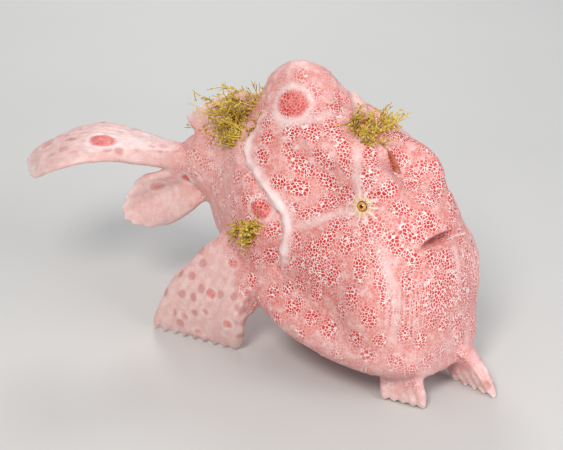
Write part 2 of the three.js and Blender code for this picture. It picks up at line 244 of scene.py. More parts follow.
def tail_sag(u, w):
    """The tail fin's sheet arches along its length and is cupped at its sides."""
    lift = TAIL_ARCH * np.sin(np.pi * w ** 1.4) - TAIL_CUP * (2 * u - 1) ** 2 * w
    side = (2 * u - 1) * TAIL_FLARE * np.sin(np.pi * w ** 2)
    return UP * lift[..., None] + TAIL_SIDE * side[..., None]


def anal_tip(u):
    angle = mix(*ANAL_SWEEP, u)
    out = ANAL_REACH * np.cos(angle)
    side = ANAL_HALF_WIDTH * np.sin(angle)
    return ANAL_CENTRE + ANAL_WAY * out[..., None] + ANAL_SIDE * side[..., None]


def dorsal_tip(u):
    rise = DORSAL_RISE * np.sin(np.pi * u)
    return row((-9.4, -1.6, 31.6), (-18.2, -6.6, 27.2))(u) + UP * rise[..., None]


def bulge(way, wave=lambda u: 1.0):
    """How far a fin's sheet bows out of flat, most halfway to its rim."""
    return lambda u, w: np.array(way, float) * (np.sin(np.pi * w) * wave(u))[..., None]


def fin_foot(side, front_tip, rear_tip):
    """The row of places where a hand or a foot meets the floor."""
    front = (front_tip[0], side * front_tip[1], SOLE_Z)
    rear = (rear_tip[0], side * rear_tip[1], SOLE_Z)
    return row(front, rear)


def hand_sag(side):
    def sag(u, w):
        bow = np.stack([-1.2 * u, side * 1.6 + 0 * u, 0.6 * u], -1)
        return bow * np.sin(np.pi * w)[..., None]
    return sag


def hand(side, front_tip, rear_tip):
    """A pectoral fin that stands like a hand; side is 1 on the left and -1 on the right."""
    return {
        "root": row((-2.2, side * 7.8, 9.8), (-8.4, side * 5.6, 15.4)),
        "tip": fin_foot(side, front_tip, rear_tip),
        "sag": hand_sag(side),
        "rays": 9, "root_thick": 6.4, "tip_thick": 0.85, "ridge": 0.45, "scallop": 0.15,
    }


def foot(side, root_x, front_tip, rear_tip):
    """A pelvic fin that stands like a foot under the chin."""
    return {
        "root": row((root_x + 4.6, side * 2.8, 7.4), (root_x, side * 2.8, 6.2)),
        "tip": fin_foot(side, front_tip, rear_tip),
        "sag": bulge((0.8, side * 0.4, 0)),
        "rays": 5, "root_thick": 4.4, "tip_thick": 0.85, "ridge": 0.45, "scallop": 0.2,
    }


FINS = {
    "tail": {
        "root": lambda u: TAIL_ROOT + TAIL_SIDE * mix(-TAIL_ROOT_HALF, TAIL_ROOT_HALF, u)[..., None],
        "tip": tail_tip, "sag": tail_sag,
        "rays": 9, "root_thick": 3.4, "tip_thick": 0.5, "ridge": 0.3, "scallop": 0.03,
    },
    "anal": {
        "root": row((-17.2, -7.4, 21.8), (-13.4, -4.6, 18.4)), "tip": anal_tip,
        "sag": bulge((0.5, -0.8, 0), lambda u: np.cos(7 * u)),
        "rays": 7, "root_thick": 2.4, "tip_thick": 0.5, "ridge": 0.28, "scallop": 0.05,
    },
    "dorsal": {
        "root": row((-7.6, -0.6, 26.0), (-14.6, -4.8, 22.8)), "tip": dorsal_tip,
        "sag": bulge((0.3, -0.6, 0)),
        "rays": 12, "root_thick": 2.0, "tip_thick": 0.5, "ridge": 0.3, "scallop": 0.1,
    },
    "right_hand": hand(-1, (-5.4, 9.8), (-18.2, 13.6)),
    "left_hand": hand(1, (-3.4, 11.0), (-15.6, 14.4)),
    "right_foot": foot(-1, 11.6, (20.8, 4.4), (15.0, 6.4)),
    "left_foot": foot(1, 12.8, (25.6, 3.0), (18.6, 3.2)),
}


def rod_mesh(points, radii, sides=10, steps=14):
    """A round, tapered rod along a bent path, with closed ends."""
    knots = np.linspace(0, 1, len(points))
    t = np.linspace(0, 1, steps + 1)
    path = np.array(points, float)
    line = np.stack([np.interp(t, knots, path[:, i]) for i in range(3)], -1)
    for _ in range(4):
        line[1:-1] = (line[:-2] + 2 * line[1:-1] + line[2:]) / 4
    ahead = np.gradient(line, axis=0)
    ahead /= np.linalg.norm(ahead, axis=1, keepdims=True) + 1e-9
    helper = np.where(np.abs(ahead[:, 2:3]) < 0.9, [[0, 0, 1.0]], [[1.0, 0, 0]])
    across = np.cross(helper, ahead)
    across /= np.linalg.norm(across, axis=1, keepdims=True) + 1e-9
    up = np.cross(ahead, across)
    radius = np.interp(t, np.linspace(0, 1, len(radii)), radii)
    angle = 2 * np.pi * np.arange(sides) / sides
    ring = (across[:, None] * np.cos(angle)[None, :, None] + up[:, None] * np.sin(angle)[None, :, None])
    points = (line[:, None] + ring * radius[:, None, None]).reshape(-1, 3)
    faces = []
    for i in range(steps):
        for k in range(sides):
            a = i * sides + k
            b = i * sides + (k + 1) % sides
            faces.append((a, b, b + sides, a + sides))
    faces.append(tuple(range(sides - 1, -1, -1)))
    faces.append(tuple(range(steps * sides, (steps + 1) * sides)))
    return points, faces


def ball_mesh(centre, radius, rings=32, sides=48, way=(0, 0, 1)):
    """A ball whose poles lie along a given way."""
    pole = unit(way)
    across = unit(np.cross(pole, [0.3, 0.5, 0.9]))
    up = np.cross(pole, across)
    points = [centre + pole * radius]
    for i in range(1, rings):
        tilt = math.pi * i / rings
        for k in range(sides):
            turn = 2 * math.pi * k / sides
            flat = across * math.cos(turn) + up * math.sin(turn)
            points.append(centre + radius * (pole * math.cos(tilt) + flat * math.sin(tilt)))
    points.append(centre - pole * radius)
    last = len(points) - 1
    faces = []
    for k in range(sides):
        n = (k + 1) % sides
        faces.append((0, 1 + k, 1 + n))
        for i in range(rings - 2):
            a = 1 + i * sides
            faces.append((a + k, a + sides + k, a + sides + n, a + n))
        a = 1 + (rings - 2) * sides
        faces.append((a + k, last, a + n))
    return np.array(points), faces


def new_object(name, points, faces, place=True):
    """A mesh object; its points are fish millimetres, or left as they are for a working mesh."""
    mesh = bpy.data.meshes.new(name)
    points = (points + SHIFT) * MM if place else points
    mesh.from_pydata(points.tolist(), [], faces)
    mesh.update()
    obj = bpy.data.objects.new(name, mesh)
    bpy.context.collection.objects.link(obj)
    return obj


def joined(parts):
    """One list of points and faces from several."""
    points = []
    faces = []
    count = 0
    for part_points, part_faces in parts:
        points.append(part_points)
        faces.extend(tuple(i + count for i in face) for face in part_faces)
        count += len(part_points)
    return np.vstack(points), faces


def mesh_arrays(mesh):
    """The points of a mesh, and the pairs of points that its edges join."""
    points = np.empty(len(mesh.vertices) * 3)
    mesh.vertices.foreach_get("co", points)
    edges = np.empty(len(mesh.edges) * 2, int)
    mesh.edges.foreach_get("vertices", edges)
    return points.reshape(-1, 3), edges.reshape(-1, 2)


def smoothed(points, edges, weight, rounds):
    """Each point drawn towards the mean of its neighbours by its own weight."""
    count = np.bincount(edges.ravel(), minlength=len(points))[:, None].clip(1)
    for _ in range(rounds):
        total = np.zeros_like(points)
        for axis in range(3):
            total[:, axis] += np.bincount(edges[:, 0], points[edges[:, 1], axis], len(points))
            total[:, axis] += np.bincount(edges[:, 1], points[edges[:, 0], axis], len(points))
        points = points + (total / count - points) * weight[:, None]
    return points


def point_normals(mesh):
    """Which way the skin faces at each point."""
    normals = np.empty(len(mesh.vertices) * 3)
    mesh.vertices.foreach_get("normal", normals)
    return normals.reshape(-1, 3)


def write_points(mesh, points):
    mesh.vertices.foreach_set("co", points.ravel())
    mesh.update()


def rounded_line(line, rounds=2):
    """The same line with its corners cut round."""
    for _ in range(rounds):
        near = mix(line[:-1], line[1:], 0.25)
        far = mix(line[:-1], line[1:], 0.75)
        inner = np.stack([near, far], 1).reshape(-1, 3)
        line = np.vstack([line[:1], inner[1:-1], line[-1:]])
    return line


def line_distance(points, line):
    """Distance to a line of named places, and which side of it a point lies on, rear below zero."""
    line = rounded_line(np.array(line, float))
    best = np.full(len(points), 1e9)
    side = np.zeros(len(points))
    for a, b in zip(line[:-1], line[1:]):
        run = b - a
        t = np.clip(((points - a) @ run) / (run @ run), 0, 1)
        d = points - (a + t[:, None] * run)
        far = np.linalg.norm(d, axis=1)
        closer = far < best
        best = np.where(closer, far, best)
        side = np.where(closer, d[:, 0] + 0.6 * d[:, 2], side)
    return best, side


def bump(distance, width):
    """One at no distance, falling smoothly away over the width."""
    return np.exp(-np.square(distance / width))


# The pale crease behind the head, from the back down to the hand
CREASE = [(-5.9, -7.4, 29.6), (-6.1, -8.2, 26.5), (-1.9, -9.6, 24.3), (0.8, -9.7, 22.2), (2.6, -9.5, 20.8),
          (2.7, -10.0, 17.4), (1.6, -10.8, 14.0)]
# Pale bands by the hump, from the eye to the crease, down the cheek, over the brow and under the hump
PALE_BANDS = [
    [(-5.4, -5.6, 31.0), (-5.5, -6.6, 29.6), (-6.0, -8.1, 26.8)],
    [(10.8, -6.7, 23.5), (7.9, -7.9, 22.1), (4.3, -9.2, 20.3)],
    [(11.5, -5.8, 22.7), (15.0, -7.0, 20.0), (17.0, -7.6, 16.8), (17.9, -7.7, 13.5), (17.8, -7.8, 10.0)],
    [(11.0, -6.2, 25.0), (10.1, -5.7, 27.3), (8.5, -4.1, 29.4)],
    [(-3.6, -5.8, 31.2), (-1.8, -6.2, 30.4), (1.6, -4.7, 31.3), (2.8, -2.8, 32.0)],
]
# The pale seam down the chin
CHIN_BAND = [(19.4, 1.7, 18.5), (19.6, 1.6, 15.8), (19.2, 1.5, 12.5)]
# Places where the red dots run together, on both cheeks and the chin
DENSE_PLACES = [((18.8, -2.4, 14.0), 3.2), ((14.0, -7.6, 21.6), 2.0), ((8.0, -9.2, 16.6), 2.6)]
# Ringed spots: place, radius, depth of red and width of the white ring
RINGED = [
    ((-1.6, -4.3, 32.6), 1.65, 0.9, 0.5), ((-1.2, -10.3, 21.0), 1.15, 0.9, 0.3),
    ((-24.6, -14.6, 24.5), 1.5, 1.3, 0.35), ((-31.6, -17.4, 22.0), 1.1, 0.45, 0.3),
    ((-16.6, -7.8, 19.8), 0.55, 1.3, 0.4), ((-19.9, -9.9, 17.9), 0.9, 0.5, 0.3),
    ((-8.3, -11.9, 7.7), 0.6, 0.8, 0.2), ((-8.8, -12.7, 5.1), 0.5, 0.6, 0.2),
    ((-5.3, -12.1, 4.5), 0.55, 0.8, 0.2), ((-10.3, -12.6, 1.6), 0.5, 0.6, 0.2),
    ((-6.1, -10.3, 12.1), 0.6, 0.5, 0.2), ((-2.7, -11.0, 9.3), 0.55, 0.5, 0.2),
    ((-6.7, -12.6, 2.6), 0.5, 0.6, 0.2), ((-12.2, -13.0, 3.4), 0.5, 0.5, 0.2),
    ((-1.6, 4.3, 32.6), 1.65, 0.9, 0.5), ((-6.0, 9.6, 20.5), 1.2, 0.9, 0.3),
    ((-8.3, 12.3, 7.7), 0.6, 0.8, 0.2), ((-5.3, 12.6, 4.5), 0.55, 0.8, 0.2),
]
# Small openings on the left side, mirrored on the right
NOSTRIL_START = np.array([9.0, 1.3, 19.0])
NOSTRIL_WAY = (0.8, 0.35, 0.5)
GILL_PORE = np.array([-8.6, 8.6, 12.2])

# Heights and depths of the skin's small forms
UPPER_LIP_LIFT = 0.30
LOWER_LIP_LIFT = 0.34
LIP_GROOVE_DEPTH = 0.36
GAPE_DEPTH = 1.5
BROW_GROOVE_DEPTH = 0.30
FOLD_LIFT = 0.10
CREASE_LIFT = 0.34
CREASE_DEPTH = 0.75
LID_LIFT = 0.26
EYE_PIT_DEPTH = 0.9
SPOKE_LIFT = 0.06
NOSTRIL_LIFT = 0.55
PORE_LIFT = 0.25
PORE_DEPTH = 0.6
CHIN_LIFT = 0.14
PAPILLA_LIFT = 0.13


def mouth_measure(points):
    """Distance from the arch of the mouth on the face, and the side: above zero on the upper jaw."""
    y = points[:, 1]
    arch_side = np.linspace(-1.4, 1.4, 225)
    inner = np.clip(np.abs(arch_side), 0, 1)
    beyond = np.abs(arch_side) - inner
    arch_y = np.sign(arch_side) * (LIP_HALF * np.sin(inner * np.pi / 2) + 0.8 * beyond)
    arch_z = MOUTH_TOP - LIP_DROP * inner ** 2.4 - 2.4 * LIP_DROP * beyond
    best = np.full(len(points), 1e9)
    above = np.zeros(len(points))
    where = np.zeros(len(points))
    for s, ay, az in zip(arch_side, arch_y, arch_z):
        d = np.hypot(y - ay, points[:, 2] - az)
        closer = d < best
        best = np.where(closer, d, best)
        outer = np.hypot(y, (points[:, 2] - 8) * 0.55) - math.hypot(ay, (az - 8) * 0.55)
        above = np.where(closer, outer, above)
        where = np.where(closer, s, where)
    best = np.where(points[:, 0] > 13.5, best, 9)
    return best, np.sign(above), where


def mouth_open(where):
    """One along the part of the mouth that stands ajar, a little right of its middle."""
    return np.clip(1.3 - np.abs(where + 0.09) * 4.9, 0, 1)


def eye_place(side):
    """Centre of the left eye for 1, of the right eye for -1."""
    return EYE_CENTRE * [1, side, 1]


def eye_way(side):
    """Which way an eye looks."""
    return unit([0.25, 0.9 * side, 0.25])


def wrinkles(points, scale, seed):
    """Smooth wandering noise from a few crossed waves."""
    rng = np.random.default_rng(seed)
    total = np.zeros(len(points))
    for _ in range(10):
        way = unit(rng.normal(size=3)) * rng.uniform(0.7, 1.5) / scale
        total += np.sin(points @ way * 2 * np.pi + rng.uniform(0, 6.3))
    return total / 10


def mouth_folds(points, mouth, where):
    """Folds of loose skin that run down beside the corners of the mouth."""
    corner = np.clip((np.abs(where) - 0.35) * 4, 0, 1) * np.clip((1.3 - np.abs(where)) * 3, 0, 1)
    reach = bump(mouth - 0.9, 1.6) * corner
    return np.cos(2 * np.pi * mouth / 0.62) * reach * bump(points[:, 2] - 13.5, 4.5)


def point_tree(points):
    """A tree for finding the points near a place."""
    tree = KDTree(len(points))
    for i, point in enumerate(points.tolist()):
        tree.insert(point, i)
    tree.balance()
    return tree


def papilla_mask(points):
    """Small warts scattered over the skin, closest on the third spine and the brows."""
    rng = np.random.default_rng(17)
    tree = point_tree(points)
    mask = np.zeros(len(points))
    for pick in rng.permutation(len(points))[:1500]:
        seed = points[pick]
        on_hump = 0.7 * bump(seed[2] - 34, 5.0)
        on_brow = 0.25 * bump(seed[0] - 13, 4) * (seed[2] > 22)
        if rng.uniform() > 0.12 + on_hump + on_brow:
            continue
        size = rng.uniform(0.22, 0.42)
        for _, i, far in tree.find_range(seed.tolist(), size * 2):
            mask[i] = max(mask[i], math.exp(-((far / size) ** 2)))
    return mask


def mouth_lift(points):
    """Lips, the line between them, the part that stands ajar, and the folds at the corners."""
    mouth, above, where = mouth_measure(points)
    ajar = mouth_open(where)
    lip = np.where(above > 0, UPPER_LIP_LIFT, LOWER_LIP_LIFT) * bump(mouth - 0.7, 0.4)
    fade = 0.45 * np.clip(1.25 - np.abs(where), 0, 1) + 0.4 * ajar
    lift = lip * fade
    lift -= LIP_GROOVE_DEPTH * fade * bump(mouth, 0.24) + GAPE_DEPTH * ajar * bump(mouth, 0.42)
    lift -= BROW_GROOVE_DEPTH * bump(mouth - 1.6, 0.5) * (above > 0) * fade
    return lift + FOLD_LIFT * mouth_folds(points, mouth, where)


def crease_lift(points):
    """The raised crease behind the head on the right side, with a groove along its rear."""
    crease, side = line_distance(points, CREASE)
    crease = crease + 0.6 * wrinkles(points, 2.2, 6)
    right = np.clip(-points[:, 1] / 3, 0, 1)
    groove = CREASE_DEPTH * bump(crease - 1.1, 0.75) * (side < 0)
    return (CREASE_LIFT * bump(crease, 0.6) - groove) * right


def opening_lift(points, side):
    """The lids and pit of an eye, its spokes, and the nostril and gill pore of that side."""
    eye = points - eye_place(side)
    far = np.linalg.norm(eye, axis=1)
    lift = LID_LIFT * bump(far - 1.08, 0.32) - EYE_PIT_DEPTH * bump(far, 0.46)
    spokes = np.abs(np.sin(3.5 * np.arctan2(eye[:, 2], eye[:, 0])))
    lift += SPOKE_LIFT * spokes * bump(far - 2.2, 0.7)
    mirror = np.array([1, side, 1])
    nostril = skin_points((NOSTRIL_START * mirror)[None], unit(NOSTRIL_WAY * mirror)[None])[0]
    far = np.linalg.norm(points - nostril, axis=1)
    lift += NOSTRIL_LIFT * (bump(far, 0.42) - bump(far, 0.17))
    pore = np.linalg.norm(points - GILL_PORE * mirror, axis=1)
    return lift + PORE_LIFT * bump(pore - 0.7, 0.3) - PORE_DEPTH * bump(pore, 0.38)


def sculpt(points, normals):
    """Moves the skin for the mouth, lids, nostrils, folds and small swellings."""
    lift = mouth_lift(points) + crease_lift(points)
    for side in (-1, 1):
        lift += opening_lift(points, side)
    on_chin = bump(points[:, 2] - 15, 3.5) * (points[:, 0] > 15)
    lift += CHIN_LIFT * bump(points[:, 1] - 1.6, 0.5) * on_chin
    lift += 0.10 * wrinkles(points, 3.2, 3) + 0.045 * wrinkles(points, 1.2, 4)
    lift += PAPILLA_LIFT * papilla_mask(points)
    return points + normals * lift[:, None]


# Clusters of red dots: the least distance between two, and how many places are tried
ROSETTE_GAP = 2.35
ROSETTE_TRIES = 26000


def rosette_mask(points, normals, weight):
    """Oval clusters set out over the skin, longest a little way from the eye, each a little different."""
    rng = np.random.default_rng(31)
    tree = point_tree(points)
    free = weight > 0.08
    mask = np.zeros(len(points))
    for pick in rng.permutation(len(points))[:ROSETTE_TRIES]:
        if not free[pick]:
            continue
        seed = points[pick]
        near = np.array([found[1] for found in tree.find_range(seed.tolist(), ROSETTE_GAP)])
        free[near] = False
        eye = eye_place(1 if seed[1] > 0 else -1)
        away = seed - eye
        reach = np.linalg.norm(away)
        along = away - normals[pick] * (away @ normals[pick])
        along = unit(along + rng.normal(size=3) * 0.25 * reach / 6)
        stretch = 1.0 + 0.75 * math.exp(-((reach - 6.5) / 5.0) ** 2) * rng.uniform(0.5, 1.2)
        size = rng.uniform(0.95, 1.32)
        d = points[near] - seed
        run = d @ along
        wide = np.linalg.norm(d - run[:, None] * along, axis=1)
        oval = np.hypot(run / stretch, wide * 1.12) / size
        value = 1 / (1 + np.exp((oval - 1) / 0.07)) * rng.uniform(0.88, 1.0)
        mask[near] = np.maximum(mask[near], value)
    return mask


def pale_mask(points, mouth, where, ragged):
    """The crease, warts, mouth folds, bands and fin rims, where the skin is palest."""
    crease, _ = line_distance(points, CREASE)
    crease = crease + 0.75 * wrinkles(points, 2.2, 6) + 0.3 * wrinkles(points, 0.9, 7)
    pale = np.clip(-points[:, 1] / 3, 0, 1) / (1 + np.exp((crease - 0.78) / 0.24))
    pale = np.maximum(pale, 0.4 * papilla_mask(points))
    pale = np.maximum(pale, 0.55 * np.clip(mouth_folds(points, mouth, where), 0, 1))
    for band in PALE_BANDS:
        for side in (1, -1):
            far, _ = line_distance(points * [1, side, 1], band)
            pale = np.maximum(pale, 0.46 * bump(far + 1.5 * ragged, 0.62))
    far, _ = line_distance(points, CHIN_BAND)
    pale = np.maximum(pale, 0.5 * bump(far + ragged, 0.5))
    for shape in FINS.values():
        rim, _ = line_distance(points, shape["tip"](np.linspace(0, 1, 9)))
        pale = np.maximum(pale, 0.7 * bump(rim + 0.5 * ragged, 0.75))
    return pale


def ringed_masks(points):
    """The red cores of the ringed spots, and the white rings round them."""
    red = np.zeros(len(points))
    ring = np.zeros(len(points))
    for place, radius, depth, width in RINGED:
        far = np.linalg.norm((points - np.array(place)) * [0.85, 1, 1], axis=1)
        red = np.maximum(red, depth / (1 + np.exp((far - radius) / 0.09)))
        ring = np.maximum(ring, min(depth + 0.3, 1) * bump(far - radius - width, width * 0.8))
    return red, ring


def cluster_mask(points, normals, spots, ragged):
    """The clusters of red dots, and the places where they run together."""
    cluster = rosette_mask(points, normals, spots)
    both_sides = np.stack([points[:, 0], -np.abs(points[:, 1]), points[:, 2]], -1)
    for place, reach in DENSE_PLACES:
        far = np.linalg.norm(both_sides - place, axis=1)
        dense = np.clip(1.6 - far / reach - 1.1 * np.abs(ragged), 0, 1)
        cluster = np.maximum(cluster, 0.85 * dense)
    return cluster * spots


def skin_masks(points, on_body, normals):
    """How strongly each marking and each patch of painted shade shows at each point, from the named places.
    """
    mouth, _, where = mouth_measure(points)
    gape = np.clip(1.3 * bump(mouth, 0.42) * mouth_open(where), 0, 1)
    ragged = 0.35 * wrinkles(points, 1.5, 12) + 0.2 * wrinkles(points, 0.7, 13)
    pale = pale_mask(points, mouth, where, ragged)
    red, ring = ringed_masks(points)
    fin = np.clip(1 - on_body, 0, 1)
    # Painted shade: the belly turns darker towards the bottom
    shaded_belly = np.clip((9.5 - points[:, 2]) / 6, 0, 1) * on_body
    rear = np.clip((-3 - points[:, 0]) / 5, 0, 1)
    crown = np.clip((points[:, 2] - 31) / 4, 0, 1)
    plain = 0.9 * fin + 0.75 * shaded_belly + 0.5 * rear + 0.6 * crown + 0.9 * gape + 1.3 * pale
    spots = np.clip(1 - plain, 0.04, 1)
    # Painted shade: the dots' red dulls on the rear, the fins and the belly
    unshaded_red = np.clip(1 - 0.55 * rear - 0.3 * fin - 0.35 * shaded_belly, 0, 1)
    return {
        "cluster": cluster_mask(points, normals, spots, ragged),
        "spots": spots,
        "pale": np.clip(pale, 0, 1),
        "red_core": red,
        "white_ring": ring,
        "gape": gape,
        "fin": fin,
        "shaded_belly": shaded_belly,
        "unshaded_red": unshaded_red,
    }


# Second dorsal spine, a short blunt knob behind the rod: its path and its radii
SECOND_SPINE_PATH = [(4.8, 0, 28.5), (5.6, -0.3, 32.6), (4.4, -0.6, 34.6)]
SECOND_SPINE_RADII = (1.5, 1.1, 0.4)


def seamless_mesh(points, faces):
    """One closed surface round overlapping closed pieces."""
    work = new_object("working_skin", points, faces, place=False)
    remesh = work.modifiers.new("seamless", "REMESH")
    remesh.mode = "VOXEL"
    remesh.voxel_size = VOXEL
    remesh.use_smooth_shade = True
    graph = bpy.context.evaluated_depsgraph_get()
    mesh = bpy.data.meshes.new_from_object(work.evaluated_get(graph))
    bpy.data.objects.remove(work)
    return mesh


def make_skin():
    """One seamless skin over the body, the second dorsal spine and every fin."""
    parts = [body_mesh()] + [fin_mesh(shape) for shape in FINS.values()]
    parts.append(rod_mesh(SECOND_SPINE_PATH, SECOND_SPINE_RADII, 20, 20))
    mesh = seamless_mesh(*joined(parts))
    points, edges = mesh_arrays(mesh)
    apart = body_distance(points)
    joint = np.clip(bump(apart - 0.7, 0.75) + 0.05, 0, 1)
    points = smoothed(points, edges, 0.75 * joint, 14)
    points = smoothed(points, edges, np.full(len(points), 0.5), 3)
    write_points(mesh, points)
    points = sculpt(points, point_normals(mesh))
    points = smoothed(points, edges, np.full(len(points), 0.3), 1)
    points[:, 2] = np.maximum(points[:, 2], 0.0)
    write_points(mesh, points)
    on_body = 1 / (1 + np.exp((body_distance(points) - 1.1) / 0.45))
    write_points(mesh, points)
    for name, values in skin_masks(points, on_body, point_normals(mesh)).items():
        layer = mesh.attributes.new(name, "FLOAT", "POINT")
        layer.data.foreach_set("value", values.astype(np.float32))
    write_points(mesh, (points + SHIFT) * MM)
    mesh.name = "skin"
    skin = bpy.data.objects.new("skin", mesh)
    bpy.context.collection.objects.link(skin)
    mesh.materials.clear()
    mesh.materials.append(skin_material())
    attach(skin, "root")
    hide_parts("head", "lower_jaw", "torso", "tail_stalk", "third_dorsal_spine", "tail_fin",
                "anal_fin", "soft_dorsal_fin", "right_hand", "left_hand", "right_foot", "left_foot",
                "second_dorsal_spine")


NOISE_ROUGHNESS = 0.55


def settle(node, values):
    """Plain values set on a node's own sockets."""
    for label, value in values.items():
        node.inputs[label].default_value = value


class Nodes:
    """Short ways to lay nodes in a tree."""

    def __init__(self, tree):
        self.tree = tree

    def add(self, kind, **values):
        node = self.tree.nodes.new(kind)
        for key, value in values.items():
            setattr(node, key, value)
        return node

    def link(self, source, target):
        self.tree.links.new(source, target)

    def put(self, socket, value):
        if hasattr(value, "is_output"):
            self.link(value, socket)
        else:
            socket.default_value = value

    def math(self, operation, *values):
        node = self.add("ShaderNodeMath", operation=operation)
        for socket, value in zip(node.inputs, values):
            self.put(socket, value)
        return node.outputs[0]

    def times(self, a, b):
        return self.math("MULTIPLY", a, b)

    def vector(self, operation, *values, output=0):
        node = self.add("ShaderNodeVectorMath", operation=operation)
        for socket, value in zip(node.inputs, values):
            self.put(socket, value)
        return node.outputs[output]

    def colour(self, factor, a, b):
        node = self.add("ShaderNodeMix", data_type="RGBA")
        self.put(node.inputs[0], factor)
        self.put(node.inputs[6], a)
        self.put(node.inputs[7], b)
        return node.outputs[2]

    def ramp(self, value, low, high, start=0.0, end=1.0):
        node = self.add("ShaderNodeMapRange", interpolation_type="SMOOTHSTEP")
        for socket, item in zip(node.inputs, (value, low, high, start, end)):
            self.put(socket, item)
        return node.outputs[0]

    def noise(self, place, scale, detail, output="Fac"):
        node = self.add("ShaderNodeTexNoise")
        self.link(place, node.inputs["Vector"])
        settle(node, {"Scale": scale, "Detail": detail, "Roughness": NOISE_ROUGHNESS})
        return node.outputs[output]

    def cells(self, place, scale, feature="F1", jitter=1.0):
        """Distance within scattered cells, from their middles or from their edges."""
        node = self.add("ShaderNodeTexVoronoi", feature=feature)
        self.link(place, node.inputs["Vector"])
        settle(node, {"Scale": scale, "Randomness": jitter})
        return node.outputs["Distance"]

    def mask(self, name):
        return self.add("ShaderNodeAttribute", attribute_name=name).outputs["Fac"]

    def relief(self, height, strength, distance, shader):
        """Fine relief in a material, with its distance in millimetres."""
        node = self.add("ShaderNodeBump")
        settle(node, {"Strength": strength, "Distance": distance * MM})
        self.link(height, node.inputs["Height"])
        self.link(node.outputs[0], shader.inputs["Normal"])


def group(name, inputs, outputs, build):
    """A shader node group with named sockets."""
    tree = bpy.data.node_groups.new(name, "ShaderNodeTree")
    for label, kind in inputs:
        tree.interface.new_socket(name=label, in_out="INPUT", socket_type=kind)
    for label, kind in outputs:
        tree.interface.new_socket(name=label, in_out="OUTPUT", socket_type=kind)
    nodes = Nodes(tree)
    start = nodes.add("NodeGroupInput")
    end = nodes.add("NodeGroupOutput")
    for label, socket in build(nodes, start.outputs).items():
        nodes.link(socket, end.inputs[label])
    return tree


def grain_group():
    """Fine skin grain: a height and a tint that wander over the surface."""
    def build(n, given):
        coarse = n.noise(given["Place"], 900.0, 4.0)
        fine = n.cells(given["Place"], 4200.0)
        height = n.math("ADD", n.times(coarse, 0.6), n.times(fine, 0.4))
        return {"Height": height, "Tint": coarse}
    return group("Skin grain", [("Place", "NodeSocketVector")],
                 [("Height", "NodeSocketFloat"), ("Tint", "NodeSocketFloat")], build)


def new_material(name):
    """A material, a way to lay its nodes, its shader and the object's own coordinates."""
    material = bpy.data.materials.new(name)
    material.use_nodes = True
    nodes = Nodes(material.node_tree)
    shader = material.node_tree.nodes["Principled BSDF"]
    place = nodes.add("ShaderNodeTexCoord").outputs["Object"]
    return material, nodes, shader, place


# Skin colours, and the number of pattern cells along a metre of skin
WHITE = (0.92, 0.79, 0.77, 1)
PINK = (0.74, 0.27, 0.235, 1)
ROSE = (0.80, 0.38, 0.335, 1)
# Painted shade on the belly, duller than the pink above it
BELLY_SHADE = (0.64, 0.34, 0.34, 1)
CRIMSON = (0.61, 0.006, 0.001, 1)
NET_PALE = (1.0, 0.86, 0.83, 1)
# Dull red of the fins' real blotches, and painted shade on the dots of the rear, fins and belly
DULL_RED = (0.48, 0.11, 0.095, 1)
FIN_PALE = (0.78, 0.53, 0.50, 1)
# Inside of the open mouth: the mouth's own red, darkened by painted shade in the slit
GAPE_SHADE_RED = (0.30, 0.040, 0.022, 1)
EYE_GOLD = (0.90, 0.66, 0.30, 1)
CORE_PINK = (0.74, 0.24, 0.20, 1)
DOTS_PER_METRE = 2550.0
BLOTCHES_PER_METRE = 520.0
# How far the pattern wanders off even cells, in millimetres
PATTERN_DRIFT = 0.9


def eye_ray_group():
    """Fine pale rays on the skin round an eye."""
    def build(n, given):
        away = n.vector("SUBTRACT", given["Place"], given["Centre"])
        across = n.vector("DOT_PRODUCT", away, given["Across"], output="Value")
        up = n.vector("DOT_PRODUCT", away, given["Up"], output="Value")
        far = n.vector("LENGTH", away, output="Value")
        wander = n.times(n.noise(given["Place"], 900.0, 1.0), 5.0)
        turn = n.math("ADD", n.times(n.math("ARCTAN2", up, across), 10.0), wander)
        ray = n.ramp(n.math("SINE", turn, 0.0), 0.35, 0.9)
        ray = n.times(ray, n.ramp(far, 0.0015, 0.0029, 1.0, 0.0))
        return {"Ray": ray, "Near": n.ramp(far, 0.0011, 0.0018, 1.0, 0.0)}
    labels = ("Place", "Centre", "Across", "Up")
    return group("Eye rays", [(label, "NodeSocketVector") for label in labels],
                 [("Ray", "NodeSocketFloat"), ("Near", "NodeSocketFloat")], build)


